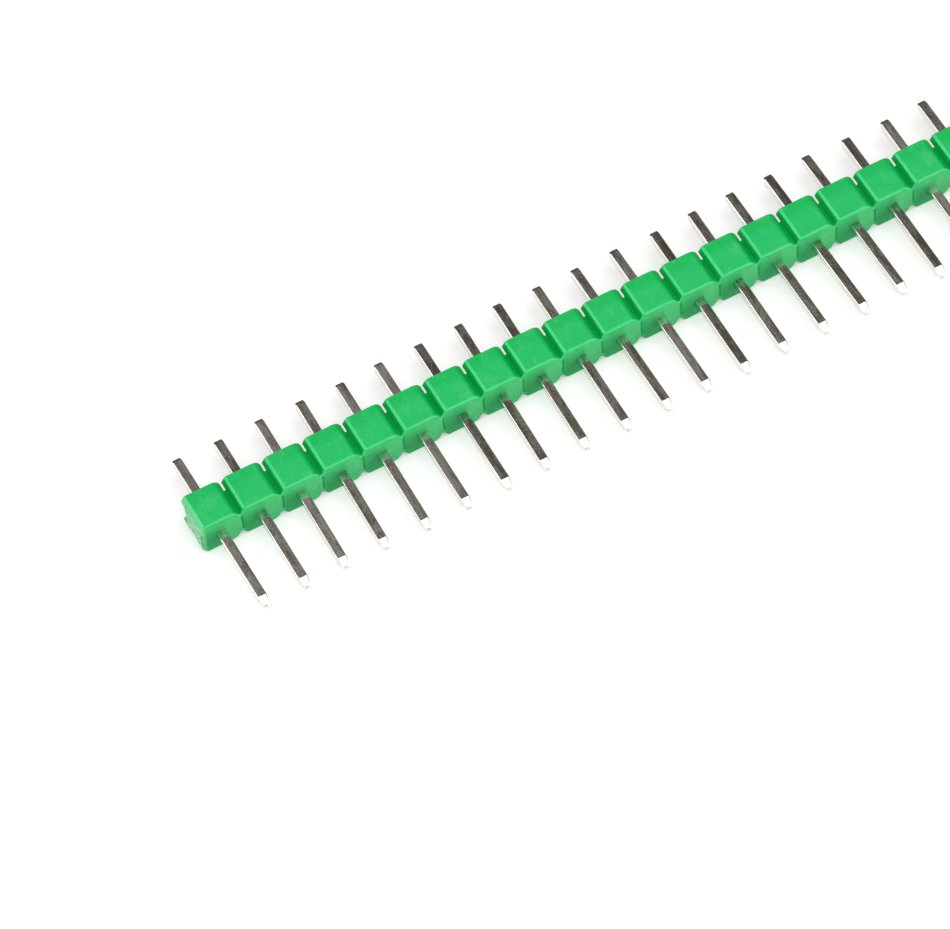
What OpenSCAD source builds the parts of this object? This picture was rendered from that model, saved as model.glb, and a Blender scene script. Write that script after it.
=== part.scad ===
// Single-row breakaway pin header: a moulded strip of blocks with one square wire pin through each.
// The strip lies on its side. X runs along the row, the long pin ends point to -Y, the short
// tails to +Y, and the underside rests on Z = 0. The origin is the middle of the base of the
// box that holds the whole strip.

/* [Row] */
// Number of positions in the row
pin_count = 40; // [2:1:58]
// Distance from one pin to the next
pitch = 2.54; // [2.4:0.01:3.5]

/* [Housing] */
// Height of the housing as it lies, across the row
body_height = 2.5; // [2.3:0.1:4]
// Depth of the housing along the pins
body_depth = 2.5; // [2:0.1:5]
// Depth of the V groove between two blocks, top and bottom
groove_depth = 0.42; // [0.3:0.01:0.6]
// Width of the flat at the foot of each groove
groove_floor = 0.06; // [0.04:0.01:0.2]
// Width of the groove wall on the block to the right of a groove
steep_wall = 0.26; // [0.1:0.01:0.3]
// Radius that eases the block's top into that wall
corner_radius = 0.26; // [0.1:0.01:0.35]
// Width of the rolled-over groove wall, on the block to the left of a groove
rolled_wall = 0.24; // [0.2:0.01:0.5]
// Radius that eases the block's top into its rolled-over wall
roll_radius = 0.5; // [0.2:0.05:0.6]
// Depth of the break notch between two blocks on the long-pin face
notch_depth = 0.12; // [0.05:0.01:0.4]
// Width of that notch's slope, on its left side
notch_slope = 0.14; // [0.1:0.01:0.5]
// Width of its steeper wall, on its right side
notch_wall = 0.09; // [0.05:0.01:0.3]
// How far the deepest line of the notch stands to the right of the groove's middle
notch_shift = 0.11; // [0:0.01:0.2]
// Height of the solid rims that close the notch above and below
notch_rim = 0.12; // [0.05:0.01:0.3]
// Depth of the channel along the tail face
channel_depth = 0.6; // [0.2:0.05:1]
// Thickness of the lips above and below that channel
lip = 0.38; // [0.3:0.01:0.6]

/* [Pins] */
// Side of the square wire
pin_width = 0.6; // [0.4:0.01:0.8]
// Length of the pin beyond the long-pin face
long_end = 5.58; // [3:0.01:15]
// Length of the pin beyond the tail face
tail_end = 2.92; // [1:0.01:6]
// Length of the taper at the long end
long_taper = 0.6; // [0.2:0.01:1]
// Length of the taper at the tail
tail_taper = 0.2; // [0.1:0.01:0.8]
// How far the taper at the long end comes in on each side
long_bevel = 0.13; // [0.04:0.01:0.18]
// How far the taper at the tail comes in on each side
tail_bevel = 0.05; // [0.03:0.01:0.18]
// Clearance round each pin in its hole, none because the pins are pressed in
press_clearance = 0; // [0:0.01:0.05]
// Scale of the pins' small sideways lean, in degrees
pin_lean = 0.6; // [0:0.1:1]
// Scale of the pins' small differences in how far they are pushed in
pin_slide = 0.05; // [0:0.01:0.2]

/* [Hidden] */
row_length = pin_count * pitch;
// How far a shape that cuts runs on past the surface it cuts
cut = 0.5;
mid_height = body_height / 2;
web_top = body_height - groove_depth;

// Small differences between the pins, made by two waves that don't repeat along the row
function lean(i) = pin_lean * (sin(72 * i) - sin(17 * i));
function slide(i) = pin_slide * (sin(50 * i) + sin(131 * i));

// Half the width of the flat at each tip
long_tip = pin_width / 2 - long_bevel;
tail_tip = pin_width / 2 - tail_bevel;

// How far the tips of pin i reach from the middle of the housing, along Y
function tip_reach(i, length, tip) = length * cos(lean(i)) + tip * abs(sin(lean(i)));
function long_reach(i) = tip_reach(i, body_depth / 2 + long_end - slide(i), long_tip);
function tail_reach(i) = tip_reach(i, body_depth / 2 + tail_end + slide(i), tail_tip);

// The housing's middle plane, set so that the whole strip's box is centred on Y = 0
pins = [1:pin_count];
body_y = (max([for (i = pins) long_reach(i)]) - max([for (i = pins) tail_reach(i)])) / 2;
front_y = body_y - body_depth / 2;
back_y = body_y + body_depth / 2;

function pin_x(i) = (i - 0.5) * pitch - row_length / 2;
function pin_name(i) = str("pin_", i < 10 ? "0" : "", i);

// The two rounded corners of a block's top: how far each wall slopes down from the flat top,
// and where the flat top ends and the rounding starts
corner_slope = atan2(groove_depth, steep_wall);
corner_end = groove_floor / 2 + steep_wall + corner_radius * tan(corner_slope / 2);
roll_slope = atan2(groove_depth, rolled_wall);
roll_start = pitch - groove_floor / 2 - rolled_wall - roll_radius * tan(roll_slope / 2);
arc_steps = 6;

// Points of the rounding between the flat top, which ends at x, and a wall, from one slope to another
function rounding(x, top, radius, from, to) = [
    for (k = [0:arc_steps])
        let (slope = from + (to - from) * k / arc_steps)
            [x + radius * sin(slope), top - radius * (1 - cos(slope))]
];

// Upper half of one block's outline in X and height above the mid line, from left to right:
// the web, the left wall, the flat top between its roundings, the rolled-over wall and the web
function half_block(half, web) = concat(
    [[0, web], [groove_floor / 2, web]],
    rounding(corner_end, half, corner_radius, -corner_slope, 0),
    rounding(roll_start, half, roll_radius, 0, roll_slope),
    [[pitch - groove_floor / 2, web], [pitch, web]]
);

// Moves an outline in X and height to where it stands in the housing
module across_housing(from_y, to_y) {
    translate([0, to_y, mid_height])
        rotate([90, 0, 0])
            linear_extrude(to_y - from_y)
                children();
}

// Outline of one block, the same above and below the mid line
module block_outline() {
    upper = half_block(mid_height, web_top - mid_height);
    lower = [for (k = [len(upper) - 1:-1:0]) [upper[k][0], -upper[k][1]]];
    polygon(concat(upper, lower));
}

// Plain square hole or wire that follows pin i's place and lean
module along_pin(i) {
    translate([pin_x(i), body_y, mid_height])
        rotate([0, 0, lean(i)])
            children();
}

module housing() {
    color("mediumseagreen")
        difference() {
            for (i = pins)
                translate([pin_x(i) - pitch / 2, 0, 0])
                    across_housing(front_y, back_y)
                        block_outline();
            break_notches();
            tail_channel();
            pin_holes();
        }
}

// Shallow notches in the long-pin face at the left side of every block, where the strip snaps
module break_notches() {
    foot = groove_depth + notch_rim;
    for (i = pins)
        translate([pin_x(i) - pitch / 2 + notch_shift, front_y, foot])
            linear_extrude(body_height - 2 * foot)
                polygon([
                    [-notch_slope, 0], [-notch_slope, -cut], [notch_wall, -cut], [notch_wall, 0],
                    [0, notch_depth]
                ]);
}

// Channel along the tail face, which keeps the solder side open between the lips
module tail_channel() {
    translate([-row_length / 2 - cut, back_y - channel_depth, lip])
        cube([row_length + 2 * cut, channel_depth + cut, body_height - 2 * lip]);
}

module pin_holes() {
    hole = pin_width + 2 * press_clearance;
    for (i = pins)
        along_pin(i)
            cube([hole, body_depth + 2 * cut, hole], center = true);
}

// Side outline of a pin: square wire with a taper at each end
module pin_outline(i) {
    half = pin_width / 2;
    long_y = -(body_depth / 2 + long_end) + slide(i);
    tail_y = body_depth / 2 + tail_end + slide(i);
    polygon([
        [-long_tip, long_y], [long_tip, long_y],
        [half, long_y + long_taper], [half, tail_y - tail_taper],
        [tail_tip, tail_y], [-tail_tip, tail_y],
        [-half, tail_y - tail_taper], [-half, long_y + long_taper]
    ]);
}

// One pin, with the same outline seen from above and from the side
module pin(i) {
    color("dimgray")
        along_pin(i)
            intersection() {
                linear_extrude(pin_width, center = true)
                    pin_outline(i);
                rotate([0, 90, 0])
                    linear_extrude(pin_width, center = true)
                        pin_outline(i);
            }
}

housing();
for (i = pins)
    pin(i);
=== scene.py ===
"""Looks of the breakaway pin header strip: a moulded green housing with forty tin-plated pins."""
import math

import bpy
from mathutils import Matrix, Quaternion, Vector, noise


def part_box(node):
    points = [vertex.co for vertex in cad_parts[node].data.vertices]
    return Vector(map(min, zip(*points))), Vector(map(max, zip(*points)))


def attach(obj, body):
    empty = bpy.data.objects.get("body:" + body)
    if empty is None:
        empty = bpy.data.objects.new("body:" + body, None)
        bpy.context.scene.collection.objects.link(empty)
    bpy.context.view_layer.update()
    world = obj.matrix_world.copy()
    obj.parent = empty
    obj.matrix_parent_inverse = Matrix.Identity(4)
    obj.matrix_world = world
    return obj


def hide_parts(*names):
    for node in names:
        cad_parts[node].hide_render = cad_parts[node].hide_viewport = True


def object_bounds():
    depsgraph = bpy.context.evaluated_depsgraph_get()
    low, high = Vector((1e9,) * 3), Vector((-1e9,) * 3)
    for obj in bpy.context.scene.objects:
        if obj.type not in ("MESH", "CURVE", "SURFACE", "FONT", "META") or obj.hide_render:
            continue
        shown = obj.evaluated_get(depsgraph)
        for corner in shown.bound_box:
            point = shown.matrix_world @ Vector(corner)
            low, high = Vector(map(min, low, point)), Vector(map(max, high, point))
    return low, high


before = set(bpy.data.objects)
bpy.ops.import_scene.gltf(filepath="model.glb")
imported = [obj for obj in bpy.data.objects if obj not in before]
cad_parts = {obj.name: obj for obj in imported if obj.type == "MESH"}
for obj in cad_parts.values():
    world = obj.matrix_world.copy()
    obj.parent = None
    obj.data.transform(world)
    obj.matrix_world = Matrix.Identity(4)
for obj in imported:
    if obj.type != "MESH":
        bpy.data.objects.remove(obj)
cad_lo, cad_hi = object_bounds()

MM = 0.001

# ---------------------------------------------------------------- sizes

pin_names = sorted(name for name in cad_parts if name.startswith("pin_"))
housing_lo, housing_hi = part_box("housing")
pitch = (housing_hi.x - housing_lo.x) / len(pin_names)
half_height = (housing_hi.z - housing_lo.z) / 2
middle_z = (housing_hi.z + housing_lo.z) / 2
front_y = housing_lo.y
back_y = housing_hi.y

# Grooves, break notches and channel of the housing, as in the CAD model
GROOVE_DEPTH = 0.42 * MM
GROOVE_FLOOR = 0.06 * MM
STEEP_WALL = 0.26 * MM
CORNER_RADIUS = 0.26 * MM
ROLLED_WALL = 0.24 * MM
ROLL_RADIUS = 0.5 * MM
NOTCH_DEPTH = 0.12 * MM
NOTCH_WALL = 0.09 * MM
NOTCH_SLOPE = 0.14 * MM
NOTCH_SHIFT = 0.11 * MM
NOTCH_RIM = 0.12 * MM
CHANNEL_DEPTH = 0.6 * MM
LIP = 0.38 * MM

# The wire and the tapers at its two ends, as in the CAD model
PIN_WIDTH = 0.6 * MM
LONG_TAPER = 0.6 * MM
LONG_TIP = 0.34 * MM
TAIL_TAPER = 0.20 * MM
TAIL_TIP = 0.50 * MM

# How near a pin's tip its corners are looked for
TIP_REACH = PIN_WIDTH / 4

# Small radii that moulding leaves on the housing, and drawing and cutting on the wire
FRONT_RADIUS = 0.15 * MM
BACK_RADIUS = 0.10 * MM
WIRE_EDGE = 0.09 * MM
TIP_EDGE = 0.03 * MM

# The snapped end: how deep it is torn, as a mean and the shares of two fractals over the face.
# Each fractal has its fall-off, its step to finer layers and its number of layers, and the slice
# keeps the second one from following the first.
BREAK_RELIEF = 0.16 * MM
MEAN_TEAR = 0.45
HOLLOW_SHARE = 0.55
HOLLOW_SIZE = 0.9 * MM
HOLLOW_FRACTAL = (0.9, 2.1, 5)
SPLINTER_SHARE = 0.14
SPLINTER_SIZE = 0.16 * MM
SPLINTER_FRACTAL = (0.8, 2.0, 3)
SPLINTER_SLICE = 3.7

# How finely the curves and the torn face are divided
CORNER_STEPS = 6
ROLL_STEPS = 12
STEEP_WALL_STEPS = 6
ROLLED_WALL_STEPS = 4
EDGE_STEPS = 6
RIM_STEPS = 4
WIRE_EDGE_STEPS = 4
BREAK_CELLS = 56

SMOOTH_ANGLE = math.radians(32)
CUTTER_SPARE = 0.5 * MM


# ---------------------------------------------------------------- mesh helpers

def mesh_object(name, vertices, faces):
    mesh = bpy.data.meshes.new(name)
    mesh.from_pydata(vertices, [], faces)
    mesh.update()
    piece = bpy.data.objects.new(name, mesh)
    bpy.context.scene.collection.objects.link(piece)
    return piece


def bake_modifiers(piece):
    """Gives a piece the mesh that its modifiers make."""
    graph = bpy.context.evaluated_depsgraph_get()
    old = piece.data
    piece.data = bpy.data.meshes.new_from_object(piece.evaluated_get(graph))
    piece.modifiers.clear()
    bpy.data.meshes.remove(old)


def subtract(piece, cutter):
    """Cuts a closed mesh away from a piece and removes the cutter."""
    cut = piece.modifiers.new("cut", "BOOLEAN")
    cut.operation = "DIFFERENCE"
    cut.solver = "EXACT"
    cut.object = cutter
    bake_modifiers(piece)
    old = cutter.data
    bpy.data.objects.remove(cutter)
    bpy.data.meshes.remove(old)


def tube_faces(rings, count):
    """Faces between rings of vertices that follow each other, with count vertices in each ring."""
    faces = []
    for near in range(0, (rings - 1) * count, count):
        far = near + count
        for k in range(count):
            following = (k + 1) % count
            faces.append((near + k, near + following, far + following, far + k))
    return faces


def box_corners(lo, hi):
    return [(x, y, z) for x in (lo[0], hi[0]) for y in (lo[1], hi[1]) for z in (lo[2], hi[2])]


BOX_FACES = [(0, 1, 3, 2), (4, 6, 7, 5), (0, 4, 5, 1), (2, 3, 7, 6), (0, 2, 6, 4), (1, 5, 7, 3)]


def boxes_object(name, corner_lists):
    """One mesh of several separate boxes, each given by its eight corners."""
    vertices, faces = [], []
    for corners in corner_lists:
        start = len(vertices)
        vertices.extend(corners)
        faces.extend([tuple(start + k for k in face) for face in BOX_FACES])
    return mesh_object(name, vertices, faces)


def smooth_by_angle(piece):
    """Smooth shading on rounded edges, with flat faces kept flat."""
    for face in piece.data.polygons:
        face.use_smooth = True
    piece.data.set_sharp_from_angle(angle=SMOOTH_ANGLE)
    weighted = piece.modifiers.new("flat faces", "WEIGHTED_NORMAL")
    weighted.keep_sharp = True


# ---------------------------------------------------------------- housing

def arc_between(before, corner, after, radius, steps):
    """Points of the arc that rounds a corner between two straight runs."""
    before, corner, after = Vector(before), Vector(corner), Vector(after)
    to_before = (before - corner).normalized()
    to_after = (after - corner).normalized()
    half_angle = to_before.angle(to_after) / 2
    reach = radius / math.tan(half_angle)
    centre = corner + (to_before + to_after).normalized() * (radius / math.sin(half_angle))
    start = corner + to_before * reach - centre
    end = corner + to_after * reach - centre
    first = math.atan2(start.y, start.x)
    turn = math.remainder(math.atan2(end.y, end.x) - first, 2 * math.pi)
    angles = [first + turn * k / steps for k in range(steps + 1)]
    return [(centre.x + radius * math.cos(a), centre.y + radius * math.sin(a)) for a in angles]


def straight_run(start, end, steps):
    """Points along a straight run, without its two ends."""
    return [
        (start[0] + (end[0] - start[0]) * k / steps, start[1] + (end[1] - start[1]) * k / steps)
        for k in range(1, steps)
    ]


def block_outline():
    """Upper outline of one block, left web to right web, in X and height above the middle."""
    web = half_height - GROOVE_DEPTH
    left_foot = (GROOVE_FLOOR / 2, web)
    right_foot = (pitch - GROOVE_FLOOR / 2, web)
    top_left = (left_foot[0] + STEEP_WALL, half_height)
    top_right = (right_foot[0] - ROLLED_WALL, half_height)
    corner = arc_between(left_foot, top_left, top_right, CORNER_RADIUS, CORNER_STEPS)
    roll = arc_between(top_left, top_right, right_foot, ROLL_RADIUS, ROLL_STEPS)
    points = [(0, web), left_foot]
    points += straight_run(left_foot, corner[0], STEEP_WALL_STEPS) + corner
    points += roll + straight_run(roll[-1], right_foot, ROLLED_WALL_STEPS)
    return points + [right_foot]


def strip_outline():
    """The whole strip's upper outline, in X and height above the middle."""
    block = block_outline()
    points = [(housing_lo.x + i * pitch + x, z) for i in range(len(pin_names)) for x, z in block]
    return points + [(housing_hi.x, half_height - GROOVE_DEPTH)]


def inward_normals(upper):
    """For each point of the upper outline, the direction into the moulding in X and height."""
    normals = [(0, -1)]
    for before, after in zip(upper, upper[2:]):
        dx, dz = after[0] - before[0], after[1] - before[1]
        normals.append((dz / math.hypot(dx, dz), -dx / math.hypot(dx, dz)))
    return normals + [(0, -1)]


def edge_stations(radius):
    """How far in from the end face, and how far in from the outline, a rounded edge runs."""
    angles = [math.pi / 2 * k / EDGE_STEPS for k in range(EDGE_STEPS + 1)]
    return [(radius * (1 - math.cos(a)), radius * (1 - math.sin(a))) for a in angles]


def smooth_share(share):
    """Eases a share from 0 to 1 with a level start and end."""
    return (1 - math.cos(math.pi * share)) / 2


def notch_at(x):
    """How far the long-pin face is set back at a place along the row: the notch by each web."""
    from_notch = math.remainder(x - housing_lo.x - NOTCH_SHIFT, pitch)
    reach = NOTCH_WALL if from_notch > 0 else NOTCH_SLOPE
    share = min(abs(from_notch) / reach, 1)
    return NOTCH_DEPTH * smooth_share(1 - share)


def strip_rings():
    """The outline's points at each station, from the long-pin face to the tail face."""
    upper = strip_outline()
    outline = upper + [(x, -z) for x, z in reversed(upper)]
    normals = inward_normals(upper)
    normals += [(nx, -nz) for nx, nz in reversed(normals)]
    stations = [(front_y + inward, inset) for inward, inset in edge_stations(FRONT_RADIUS)]
    stations += [(back_y - inward, inset) for inward, inset in reversed(edge_stations(BACK_RADIUS))]
    return [
        [
            (x + nx * inset, y, middle_z + z + nz * inset)
            for (x, z), (nx, nz) in zip(outline, normals)
        ]
        for y, inset in stations
    ]


def front_columns(vertices, count):
    """Adds the long-pin face's points inside the first ring, and returns the face's columns."""
    drops = [NOTCH_RIM * step / RIM_STEPS for step in range(1, RIM_STEPS + 1)]
    columns = []
    for top, bottom in zip(range(count // 2), reversed(range(count))):
        x = vertices[top][0]
        levels = [(vertices[top][2] - drop, drop) for drop in drops]
        levels += [(vertices[bottom][2] + drop, drop) for drop in reversed(drops)]
        first = len(vertices)
        for z, drop in levels:
            vertices.append((x, front_y + notch_at(x) * smooth_share(drop / NOTCH_RIM), z))
        columns.append([top, *range(first, len(vertices)), bottom])
    return columns


def lofted_strip():
    """The moulding before its break, channel and holes are cut."""
    rings = strip_rings()
    vertices = [point for ring in rings for point in ring]
    count = len(rings[0])
    faces = tube_faces(len(rings), count)
    last = len(vertices) - count
    for k in range(count // 2 - 1):
        faces.append((last + k, last + k + 1, last + count - 2 - k, last + count - 1 - k))
    columns = front_columns(vertices, count)
    for left, right in zip(columns, columns[1:]):
        for row in range(len(left) - 1):
            faces.append((left[row + 1], right[row + 1], right[row], left[row]))
    return mesh_object("housing_shell", vertices, faces)


def channel_cutter():
    """The channel along the tail face."""
    lo = (housing_lo.x - CUTTER_SPARE, back_y - CHANNEL_DEPTH, housing_lo.z + LIP)
    hi = (housing_hi.x + CUTTER_SPARE, back_y + CUTTER_SPARE, housing_hi.z - LIP)
    return boxes_object("channel", [box_corners(lo, hi)])


def pin_axis(name):
    """Middle of the pin's long tip, its direction towards its tail, and its length."""
    points = [vertex.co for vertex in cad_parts[name].data.vertices]
    long_tip = min(p.y for p in points)
    tail_tip = max(p.y for p in points)
    long_x = [p.x for p in points if p.y < long_tip + TIP_REACH]
    tail_x = [p.x for p in points if p.y > tail_tip - TIP_REACH]
    start = Vector(((max(long_x) + min(long_x)) / 2, long_tip, middle_z))
    end = Vector(((max(tail_x) + min(tail_x)) / 2, tail_tip, middle_z))
    return start, (end - start).normalized(), (end - start).length


def hole_cutter():
    """Square holes that the pins fill, each along its own pin."""
    half = PIN_WIDTH / 2
    boxes = []
    for name in pin_names:
        start, along, _ = pin_axis(name)
        across = Vector((along.y, -along.x, 0))
        near = start + along * ((front_y - CUTTER_SPARE - start.y) / along.y)
        far = start + along * ((back_y + CUTTER_SPARE - start.y) / along.y)
        boxes.append([
            end + across * side * half + Vector((0, 0, level * half))
            for side in (-1, 1)
            for end in (near, far)
            for level in (-1, 1)
        ])
    return boxes_object("holes", boxes)


def break_relief(y, z):
    """How deep the snapped face is torn back at a place, from 0 to BREAK_RELIEF."""
    hollows = noise.fractal(Vector((0, y, z)) / HOLLOW_SIZE, *HOLLOW_FRACTAL)
    splinters = noise.fractal(Vector((SPLINTER_SLICE, y, z)) / SPLINTER_SIZE, *SPLINTER_FRACTAL)
    depth = MEAN_TEAR + HOLLOW_SHARE * hollows + SPLINTER_SHARE * splinters
    return BREAK_RELIEF * min(max(depth, 0), 1)


def break_cutter():
    """A block whose right face is the rough snapped surface of the strip's left end."""
    y_lo, y_hi = front_y - CUTTER_SPARE, back_y + CUTTER_SPARE
    z_lo, z_hi = housing_lo.z - CUTTER_SPARE, housing_hi.z + CUTTER_SPARE
    count = BREAK_CELLS + 1
    vertices = []
    for i in range(count):
        for j in range(count):
            y = y_lo + (y_hi - y_lo) * i / BREAK_CELLS
            z = z_lo + (z_hi - z_lo) * j / BREAK_CELLS
            vertices.append((housing_lo.x + break_relief(y, z), y, z))
    faces = [
        (i * count + j, (i + 1) * count + j, (i + 1) * count + j + 1, i * count + j + 1)
        for i in range(BREAK_CELLS)
        for j in range(BREAK_CELLS)
    ]
    rim = [i * count for i in range(count)]
    rim += [BREAK_CELLS * count + j for j in range(1, count)]
    rim += [i * count + BREAK_CELLS for i in range(BREAK_CELLS - 1, -1, -1)]
    rim += [j for j in range(BREAK_CELLS - 1, 0, -1)]
    outer = len(vertices)
    for k in rim:
        vertices.append((housing_lo.x - CUTTER_SPARE, vertices[k][1], vertices[k][2]))
    for k in range(len(rim)):
        following = (k + 1) % len(rim)
        faces.append((rim[k], outer + k, outer + following, rim[following]))
    faces.append(tuple(outer + k for k in reversed(range(len(rim)))))
    return mesh_object("break", vertices, faces)


def make_housing():
    housing = lofted_strip()
    housing.name = "housing_moulding"
    subtract(housing, break_cutter())
    subtract(housing, channel_cutter())
    subtract(housing, hole_cutter())
    smooth_by_angle(housing)
    return housing


# ---------------------------------------------------------------- pins

def square_section(half, radius):
    """Points round a square with rounded corners, in X and Z."""
    inner = half - radius
    points = []
    for corner, (sx, sz) in enumerate([(1, 1), (-1, 1), (-1, -1), (1, -1)]):
        for k in range(WIRE_EDGE_STEPS + 1):
            angle = math.pi / 2 * (corner + k / WIRE_EDGE_STEPS)
            x = sx * inner + radius * math.cos(angle)
            points.append((x, sz * inner + radius * math.sin(angle)))
    return points


def make_pin(name):
    """One square wire pin with its edges rounded and a taper at each end."""
    start, along, length = pin_axis(name)
    across = Vector((along.y, -along.x, 0))
    sections = [
        (0, LONG_TIP / 2 - TIP_EDGE, TIP_EDGE),
        (TIP_EDGE, LONG_TIP / 2, TIP_EDGE),
        (LONG_TAPER, PIN_WIDTH / 2, WIRE_EDGE),
        (length - TAIL_TAPER, PIN_WIDTH / 2, WIRE_EDGE),
        (length - TIP_EDGE, TAIL_TIP / 2, TIP_EDGE),
        (length, TAIL_TIP / 2 - TIP_EDGE, TIP_EDGE),
    ]
    vertices = []
    for distance, half, radius in sections:
        centre = start + along * distance
        section = square_section(half, radius)
        vertices += [centre + across * x + Vector((0, 0, z)) for x, z in section]
    count = len(section)
    faces = [tuple(range(count)), tuple(reversed(range(len(vertices) - count, len(vertices))))]
    faces += [(a, d, c, b) for a, b, c, d in tube_faces(len(sections), count)]
    pin = mesh_object("wire_" + name, vertices, faces)
    smooth_by_angle(pin)
    for edge in pin.data.edges:
        if edge.vertices[0] // count == edge.vertices[1] // count:
            edge.use_edge_sharp = True
    return pin


# ---------------------------------------------------------------- node trees

SMALL_RELIEF = 0.02 * MM


class Nodes:
    """Short way to write a node tree: a new material's, or the one that is given."""

    def __init__(self, name="", tree=None):
        self.tree = tree
        if tree is None:
            self.material = bpy.data.materials.new(name)
            self.material.use_nodes = True
            self.tree = self.material.node_tree
            self.shader = self.tree.nodes["Principled BSDF"]

    def add(self, kind, inputs=None, **settings):
        node = self.tree.nodes.new(kind)
        for key, value in settings.items():
            setattr(node, key, value)
        for key, value in (inputs or {}).items():
            self.put(node.inputs[key], value)
        return node

    def put(self, socket, value):
        if isinstance(value, bpy.types.NodeSocket):
            self.tree.links.new(value, socket)
        else:
            socket.default_value = value

    def surface(self, inputs):
        """Sets inputs of the material's own shader."""
        for key, value in inputs.items():
            self.put(self.shader.inputs[key], value)

    def math(self, operation, a, b, clamp=False):
        node = self.add("ShaderNodeMath", {0: a, 1: b}, operation=operation, use_clamp=clamp)
        return node.outputs[0]

    def mix(self, factor, a, b):
        """Mixes two colours, which are the node's sockets 6 and 7 and its output 2."""
        node = self.add("ShaderNodeMix", data_type="RGBA")
        self.put(node.inputs[0], factor)
        self.put(node.inputs[6], a)
        self.put(node.inputs[7], b)
        return node.outputs[2]

    def parts(self, vector):
        """The X, Y and Z of a vector."""
        return self.add("ShaderNodeSeparateXYZ", {0: vector}).outputs

    def ramp(self, value, lo, hi, to_lo=0.0, to_hi=1.0):
        """Eases from one result at lo to another at hi, and stays level outside."""
        names = {"Value": value, "From Min": lo, "From Max": hi, "To Min": to_lo, "To Max": to_hi}
        return self.add("ShaderNodeMapRange", names, interpolation_type="SMOOTHSTEP").outputs[0]

    def noise(self, vector, scale, detail, roughness):
        """Noise at one scale, or at its own scale along each axis."""
        if isinstance(scale, tuple):
            vector = self.add("ShaderNodeMapping", {"Vector": vector, "Scale": scale}).outputs[0]
            scale = 1
        values = {"Vector": vector, "Scale": scale, "Detail": detail, "Roughness": roughness}
        return self.add("ShaderNodeTexNoise", values).outputs["Fac"]

    def lobe(self, vector, centre, full, gone):
        """1 where a unit vector is within full degrees of a direction, 0 beyond gone degrees."""
        inputs = {0: vector, 1: Vector(centre).normalized()}
        along = self.add("ShaderNodeVectorMath", inputs, operation="DOT_PRODUCT").outputs["Value"]
        return self.ramp(along, math.cos(math.radians(gone)), math.cos(math.radians(full)))

    def bump(self, height, strength):
        """Small relief that bends the light without changing the shape."""
        inputs = {"Strength": strength, "Distance": SMALL_RELIEF, "Height": height}
        return self.add("ShaderNodeBump", inputs).outputs[0]


# ---------------------------------------------------------------- green plastic

# Part of the light and shade is painted in, by direction and place: the soft lamps are more even
# than the ones in the photograph
GREEN = (0.009, 0.470, 0.120, 1)
DEEP_GREEN = (0.004, 0.440, 0.092, 1)
SHADED_GREEN = (0.002, 0.350, 0.088, 1)
GROOVE_SHADE_GREEN = (0.003, 0.350, 0.060, 1)
PALE_GREEN = (0.160, 0.640, 0.300, 1)
EDGE_HIGHLIGHT_GREEN = (0.045, 0.610, 0.205, 1)
TORN_GREEN = (0.11, 0.52, 0.22, 1)
STRESS_WHITE = (0.62, 0.80, 0.66, 1)

# Noise: how many waves in a metre, or in a metre of each axis, then its detail and roughness
CLOUD_NOISE = (900, 3, 0.6)
STREAK_NOISE = ((3200, 700, 2500), 4, 0.65)
SCUFF_NOISE = ((1500, 1100, 1500), 5, 0.7)
TORN_NOISE = (5200, 4, 0.7)
GRAIN_NOISE = (14000, 2, 0.5)

# Ramps over noise: the two values that are read, and the results there
CLOUDED = (0.45, 0.75, 0, 0.35)
STREAKED = (0.58, 0.72, 0, 0.22)
SCUFFED = (0.5, 0.64, 0, 0.13)
SPECKED = (0.5, 0.66, 0, 0.9)
GRAIN_ROUGHNESS = (0.3, 0.7, 0.26, 0.38)

# Ramps over places in the housing, the third one over the place in a block
OVER_CHANNEL = (back_y - CHANNEL_DEPTH - 0.55 * MM, back_y - CHANNEL_DEPTH + 0.05 * MM)
BELOW_TOP = (middle_z + 0.4 * MM, middle_z + 1.0 * MM, 1, 0.3)
LEFT_OF_BLOCK = (1.3 * MM, 1.75 * MM, 1, 0)
GROOVE_FOOT = (housing_hi.z - GROOVE_DEPTH, housing_hi.z - 0.6 * GROOVE_DEPTH, 1, 0)
CLEAR_OF_BREAK = (housing_lo.x + 0.3 * MM, housing_lo.x + 0.42 * MM)
STRAINED_AND_LIT = (housing_lo.x + 0.24 * MM, housing_lo.x + 0.42 * MM, 0.55, 0)
TORN = (housing_lo.x + 0.08 * MM, housing_lo.x + 0.26 * MM, 1, 0)

# Ramps over the surface's direction, by how far it faces right, away and up
FACES_FRONT = (-0.98, -0.88, 1, 0)
FACES_UP = (0.8, 0.95)
FACES_RIGHT = (0.1, 0.7)
FACES_LEFT = (-0.86, -0.5, 1, 0)
BEHIND_FRONT_EDGE = (-0.6, -0.2)
FRONT_EDGE_TOP = (-0.45, -0.2, 1, 0)
FRONT_EDGE_FOOT = (-0.95, -0.75)
UPPER_EDGE = (0.1, 0.3, 0, 0.35)

# The way a block's left corner faces, and the half angles that its painted highlight line is full
# within and gone beyond
LEFT_CORNER_HIGHLIGHT = ((-0.5, 0.0, 0.87), 10, 26)

# How much the torn colour covers, how matt the shade and the lips are, and the shader's specular
# level where the plastic is glossy and where it is fully matt
TORN_SHARE = 0.85
SHADED_MATT = 0.6
LIP_MATT = 0.35
GLOSS_TO_MATT = (0.5, 0.1)

PLASTIC_IOR = 1.45
SCATTER = 0.12
SCATTER_RADIUS = (0.25, 1.0, 0.5)
SCATTER_SCALE = 0.3 * MM
STREAK_HEIGHT = 0.6
GRAIN_HEIGHT = 0.25
PLASTIC_BUMP = 0.25


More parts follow.
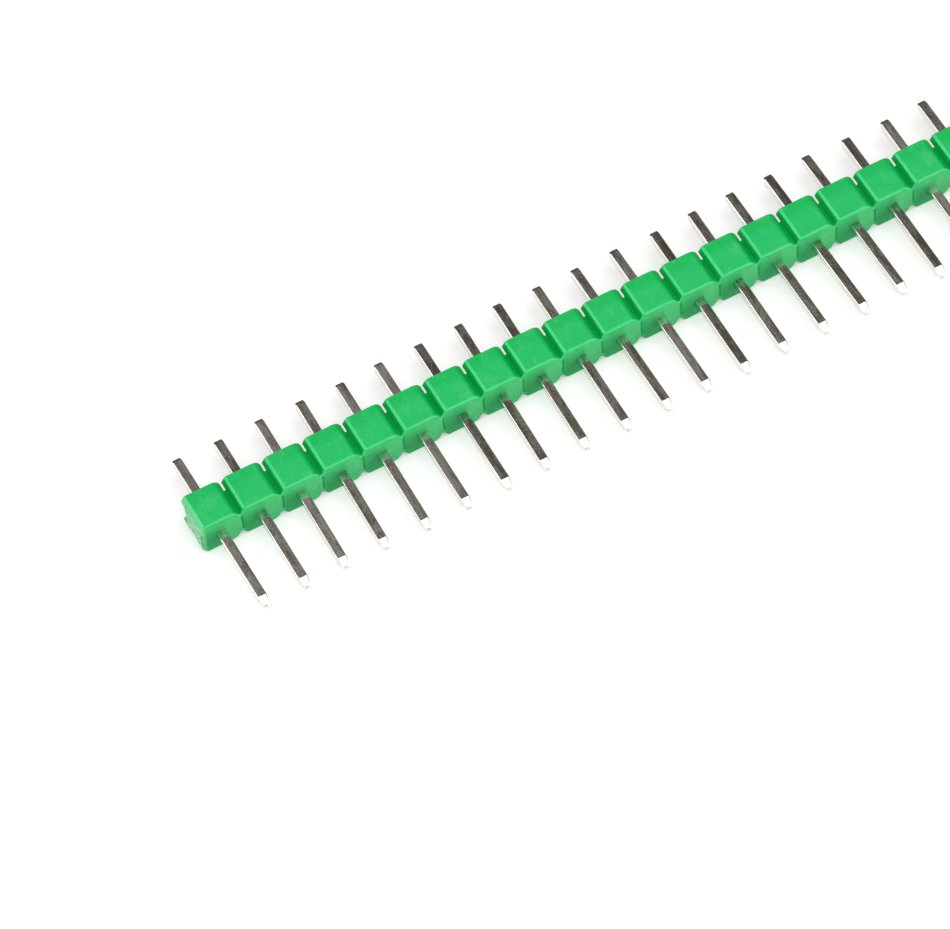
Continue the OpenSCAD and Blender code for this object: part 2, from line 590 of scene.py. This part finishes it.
def housing_material():
    n = Nodes("green_moulding")
    place = n.add("ShaderNodeTexCoord").outputs["Object"]
    normal = n.add("ShaderNodeNewGeometry").outputs["Normal"]
    x, y, z = n.parts(place)
    right, away, up = n.parts(normal)

    # Painted shade: the thin lips over the channel are deeper in colour, standing in for the light
    # that passes through them
    lip_shade = n.ramp(y, *OVER_CHANNEL)
    colour = n.mix(lip_shade, GREEN, DEEP_GREEN)

    # Flow marks, scuffs and small changes in the pigment
    cloud = n.noise(place, *CLOUD_NOISE)
    colour = n.mix(n.ramp(cloud, *CLOUDED), colour, DEEP_GREEN)
    streak = n.noise(place, *STREAK_NOISE)
    colour = n.mix(n.ramp(streak, *STREAKED), colour, PALE_GREEN)
    scuffs = n.noise(place, *SCUFF_NOISE)
    colour = n.mix(n.ramp(scuffs, *SCUFFED), colour, PALE_GREEN)

    # Painted shadow of the pin: the left part of each block's long-pin face is deeper in colour, to
    # just past the pin
    in_block = n.math("FLOORED_MODULO", n.math("SUBTRACT", x, housing_lo.x), pitch)
    left_part = n.ramp(in_block, *LEFT_OF_BLOCK)
    shaded = n.math("MULTIPLY", left_part, n.ramp(away, *FACES_FRONT))
    shaded = n.math("MULTIPLY", shaded, n.ramp(z, *BELOW_TOP))
    colour = n.mix(shaded, colour, SHADED_GREEN)

    # Painted shade deepens the colour in the grooves, and painted highlights pale it along the
    # front edge and the left corners
    foot = n.math("MULTIPLY", n.ramp(z, *GROOVE_FOOT), n.ramp(up, *FACES_UP))
    walls = n.math("MAXIMUM", n.ramp(right, *FACES_RIGHT), n.ramp(right, *FACES_LEFT))
    walls = n.math("MULTIPLY", walls, n.ramp(away, *BEHIND_FRONT_EDGE))
    groove_shade = n.math("MULTIPLY", n.math("MAXIMUM", walls, foot), n.ramp(x, *CLEAR_OF_BREAK))
    colour = n.mix(groove_shade, colour, GROOVE_SHADE_GREEN)
    # Painted highlight: a paler colour on the rounded front edge and along each block's left corner
    turn = n.math("MULTIPLY", n.ramp(away, *FRONT_EDGE_TOP), n.ramp(away, *FRONT_EDGE_FOOT))
    front_edge_highlight = n.math("MULTIPLY", turn, n.ramp(up, *UPPER_EDGE))
    edge = n.math("MAXIMUM", n.lobe(normal, *LEFT_CORNER_HIGHLIGHT), front_edge_highlight)
    colour = n.mix(edge, colour, EDGE_HIGHLIGHT_GREEN)

    # Near the snapped end the plastic is paler, partly strained pale and partly a painted highlight
    # on the end block's unshaded left wall, with white specks on the torn face itself
    colour = n.mix(n.ramp(x, *STRAINED_AND_LIT), colour, PALE_GREEN)
    near_break = n.ramp(x, *TORN)
    colour = n.mix(n.math("MULTIPLY", near_break, TORN_SHARE), colour, TORN_GREEN)
    specks = n.ramp(n.noise(place, *TORN_NOISE), *SPECKED)
    colour = n.mix(n.math("MULTIPLY", near_break, specks), colour, STRESS_WHITE)

    grain = n.noise(place, *GRAIN_NOISE)
    matt = n.math("MAXIMUM", groove_shade, n.math("MULTIPLY", shaded, SHADED_MATT))
    matt = n.math("MAXIMUM", matt, n.math("MULTIPLY", lip_shade, LIP_MATT))
    streak_height = n.math("MULTIPLY", streak, STREAK_HEIGHT)
    height = n.math("ADD", streak_height, n.math("MULTIPLY", grain, GRAIN_HEIGHT))
    n.surface({
        "Base Color": colour,
        "Roughness": n.ramp(grain, *GRAIN_ROUGHNESS),
        "IOR": PLASTIC_IOR,
        "Specular IOR Level": n.ramp(matt, 0, 1, *GLOSS_TO_MATT),
        "Subsurface Weight": SCATTER,
        "Subsurface Radius": SCATTER_RADIUS,
        "Subsurface Scale": SCATTER_SCALE,
        "Normal": n.bump(height, PLASTIC_BUMP),
    })
    return n.material


# ---------------------------------------------------------------- tinned wire

TIN = (0.88, 0.86, 0.83, 1)
TIN_DULL = (0.66, 0.63, 0.58, 1)
TIN_DARK = (0.27, 0.255, 0.21, 1)

# Noise and ramps, written as for the green plastic
LINE_NOISE = ((9000, 260, 9000), 5, 0.7)
BROAD_NOISE = ((2600, 120, 2600), 2, 0.5)
SPOT_NOISE = (4200, 3, 0.6)
PATCH_NOISE = ((3600, 900, 3600), 4, 0.7)
MOTTLE_NOISE = (9000, 2, 0.6)
LINED = (0.35, 0.68)
SPOTTED = (0.62, 0.8, 0, 0.5)
PATCHED = (0.4, 0.65, -0.2, 0.5)
MOTTLED = (0.35, 0.65, -0.25, 0.25)
WIRE_ROUGHNESS = (0.3, 0.7, 0.09, 0.17)
DARK_REFLECTION_RISE = (housing_lo.x + 1 * MM, housing_lo.x + 9 * MM, -0.5, 0)
UPPER_FACE = (0.98, 0.995)

OWN_DARK_REFLECTION = 0.85
LINE_HEIGHT = 0.5
WIRE_BUMP = 0.12


def tin_material():
    n = Nodes("tinned_wire")
    place = n.add("ShaderNodeTexCoord").outputs["Object"]
    normal = n.add("ShaderNodeNewGeometry").outputs["Normal"]
    x = n.parts(place)[0]
    up = n.parts(normal)[2]

    # Draw lines run the length of the wire, with dull spots between them
    lines = n.noise(place, *LINE_NOISE)
    broad = n.noise(place, *BROAD_NOISE)
    spots = n.noise(place, *SPOT_NOISE)
    colour = n.mix(n.ramp(lines, *LINED), TIN_DULL, TIN)
    colour = n.mix(n.ramp(spots, *SPOTTED), colour, TIN_DULL)

    # A painted dark reflection darkens the upper face, more on some pins than on others and least
    # at the left
    own = n.math("MULTIPLY", n.add("ShaderNodeObjectInfo").outputs["Random"], OWN_DARK_REFLECTION)
    patches = n.ramp(n.noise(place, *PATCH_NOISE), *PATCHED)
    mottle = n.ramp(n.noise(place, *MOTTLE_NOISE), *MOTTLED)
    spread = n.math("ADD", patches, mottle)
    spread = n.math("ADD", spread, n.ramp(x, *DARK_REFLECTION_RISE))
    dark_reflection = n.math("ADD", own, spread, clamp=True)
    dark_reflection = n.math("MULTIPLY", dark_reflection, n.ramp(up, *UPPER_FACE))

    height = n.math("ADD", n.math("MULTIPLY", lines, LINE_HEIGHT), broad)
    n.surface({
        "Base Color": n.mix(dark_reflection, colour, TIN_DARK),
        "Metallic": 1.0,
        "Roughness": n.ramp(broad, *WIRE_ROUGHNESS),
        "Normal": n.bump(height, WIRE_BUMP),
    })
    return n.material


# ---------------------------------------------------------------- stage, light and camera

VIEW_AZIMUTH = -23.5
VIEW_ELEVATION = 57.34
VIEW_ROLL = -5.9
VIEW_DISTANCE = 323.6 * MM
VIEW_LENS = 220.2
SENSOR_WIDTH = 36
AIM_FROM_LEFT_END = 15.57 * MM
AIM_Y = -3.10 * MM
CLIP_START = 0.01
CLIP_END = 10

FLOOR_SIZE = 4.0
FLOOR_COLOUR = (0.7, 0.7, 0.7, 1)
FLOOR_ROUGHNESS = 0.9
FLOOR_LIFT = 0.35
WHITE = (1, 1, 1, 1)

# The studio's own level, and then each lamp and the dark side: its direction, the half angles it
# is full within and gone beyond, and its strength
STUDIO = 0.12
KEY = ((0.03, -0.10, 1.0), 26, 52, 2.2)
WINDOW = ((-0.62, 0.50, 0.61), 4, 9, 4.0)
LEFT_BACK = ((-0.82, 0.50, 0.22), 10, 24, 1.2)
FILL = ((0.55, -0.80, 0.15), 12, 28, 5.0)
LEFT_FILL = ((-0.93, -0.25, 0.20), 10, 26, 3.0)
DARK_SIDE = ((0.215, 0.82, 0.52), 20, 46, 0.115)
DARK_COLOUR = (1.0, 0.88, 0.74)


def make_camera():
    data = bpy.data.cameras.new("camera")
    data.lens = VIEW_LENS
    data.sensor_width = SENSOR_WIDTH
    data.clip_start = CLIP_START
    data.clip_end = CLIP_END
    camera = bpy.data.objects.new("camera", data)
    bpy.context.scene.collection.objects.link(camera)
    azimuth, elevation = math.radians(VIEW_AZIMUTH), math.radians(VIEW_ELEVATION)
    back = Vector((
        math.sin(azimuth) * math.cos(elevation),
        -math.cos(azimuth) * math.cos(elevation),
        math.sin(elevation),
    ))
    aim = Vector((cad_lo.x + AIM_FROM_LEFT_END, AIM_Y, middle_z))
    roll = Quaternion((0, 0, 1), math.radians(VIEW_ROLL))
    camera.rotation_mode = "QUATERNION"
    camera.rotation_quaternion = (-back).to_track_quat("-Z", "Y") @ roll
    camera.location = aim + back * VIEW_DISTANCE
    bpy.context.scene.camera = camera


def make_floor():
    """Pale floor that takes the shadows, lifted to about white for camera and mirror rays."""
    half = FLOOR_SIZE / 2
    corners = [(-half, -half, 0), (half, -half, 0), (half, half, 0), (-half, half, 0)]
    floor = mesh_object("floor", corners, [(0, 1, 2, 3)])
    n = Nodes("floor_white")
    path = n.add("ShaderNodeLightPath")
    seen = n.math("MAXIMUM", path.outputs["Is Camera Ray"], path.outputs["Is Glossy Ray"])
    n.surface({
        "Base Color": FLOOR_COLOUR,
        "Roughness": FLOOR_ROUGHNESS,
        "Specular IOR Level": 0.0,
        "Emission Color": WHITE,
        "Emission Strength": n.math("MULTIPLY", seen, FLOOR_LIFT),
    })
    floor.data.materials.append(n.material)


def grey(strength):
    return (strength, strength, strength, 1)


def make_world():
    """Dim studio with soft lamps and one warm dark side beyond the object, white to the camera."""
    world = bpy.data.worlds.new("studio")
    bpy.context.scene.world = world
    world.use_nodes = True
    n = Nodes(tree=world.node_tree)
    direction = n.add("ShaderNodeTexCoord").outputs["Generated"]
    light = grey(STUDIO)
    for *lobe, strength in (KEY, FILL, LEFT_FILL, LEFT_BACK, WINDOW):
        light = n.mix(n.lobe(direction, *lobe), light, grey(strength))
    *lobe, strength = DARK_SIDE
    dark = tuple(strength * share for share in DARK_COLOUR) + (1,)
    light = n.mix(n.lobe(direction, *lobe), light, dark)
    path = n.add("ShaderNodeLightPath")
    background = n.tree.nodes["Background"]
    n.put(background.inputs["Color"], n.mix(path.outputs["Is Camera Ray"], light, WHITE))
    background.inputs["Strength"].default_value = 1.0


# ---------------------------------------------------------------- build

bpy.context.scene.view_settings.view_transform = "Standard"
make_camera()
make_floor()
make_world()

green = housing_material()
tin = tin_material()

housing = make_housing()
housing.data.materials.clear()
housing.data.materials.append(green)
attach(housing, "root")
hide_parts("housing")

for name in pin_names:
    pin = make_pin(name)
    pin.data.materials.append(tin)
    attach(pin, "root")
    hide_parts(name)
